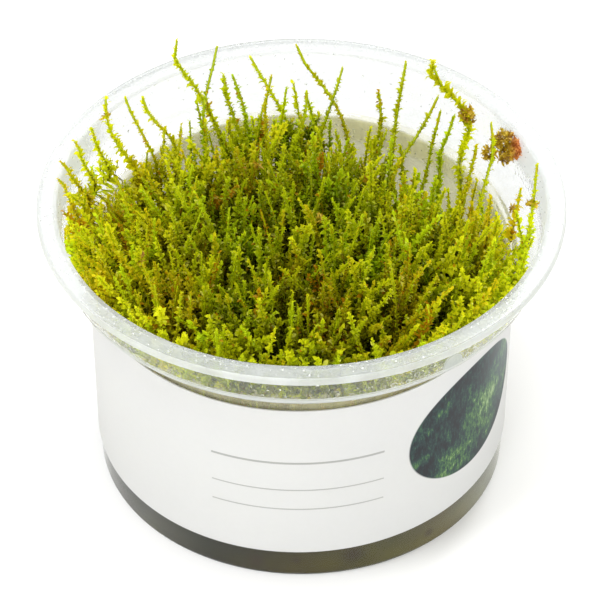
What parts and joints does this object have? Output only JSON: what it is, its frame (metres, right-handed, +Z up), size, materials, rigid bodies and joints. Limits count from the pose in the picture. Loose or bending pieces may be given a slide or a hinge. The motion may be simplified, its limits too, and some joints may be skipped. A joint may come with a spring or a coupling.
{
  "type": "moss clump in a culture cup",
  "caption": "Dense clump of leafy green moss growing upright on gel in a clear stepped culture cup with a flat rim and a wrap-around paper label.",
  "frame": {"origin": "middle of the cup's foot, on the surface that it stands on", "axes": "+Z up, -Y towards the front of the label, +X to the right seen from the front"},
  "size_m": [0.1, 0.1, 0.0701],
  "materials": {
    "clear_plastic": "clear, slightly frosted by droplets",
    "label_paper": "smooth white paper",
    "nutrient_gel": "dull translucent gel",
    "moss_mat": "dense leafy shoots",
    "moss_shoots": "thin shiny leaves",
    "dry_moss": "dry and brown"
  },
  "bodies": {
    "root": {"cup": "clear_plastic", "label": "label_paper", "nutrient_gel": "nutrient_gel", "moss_mat": "moss_mat", "dry_tuft": "dry_moss", "shoot_left_1": "moss_shoots", "shoot_left_2": "moss_shoots", "shoot_left_3": "moss_shoots", "shoot_left_4": "moss_shoots", "shoot_left_5": "moss_shoots", "shoot_left_6": "moss_shoots", "shoot_left_7": "moss_shoots", "shoot_back_1": "moss_shoots", "shoot_back_2": "moss_shoots", "shoot_back_3": "moss_shoots", "shoot_back_4": "moss_shoots", "shoot_back_5": "moss_shoots", "shoot_back_6": "moss_shoots", "shoot_back_7": "moss_shoots", "shoot_back_8": "moss_shoots", "shoot_back_9": "moss_shoots", "shoot_right_1": "moss_shoots", "shoot_right_2": "moss_shoots", "shoot_right_3": "moss_shoots", "shoot_right_4": "moss_shoots", "shoot_right_5": "moss_shoots", "shoot_right_6": "moss_shoots", "shoot_right_7": "moss_shoots", "shoot_right_8": "moss_shoots", "shoot_right_9": "moss_shoots", "shoot_front_1": "moss_shoots", "shoot_front_2": "moss_shoots", "shoot_middle_1": "moss_shoots", "shoot_middle_2": "moss_shoots", "hooked_shoot": "moss_shoots"}
  },
  "joints": []
}
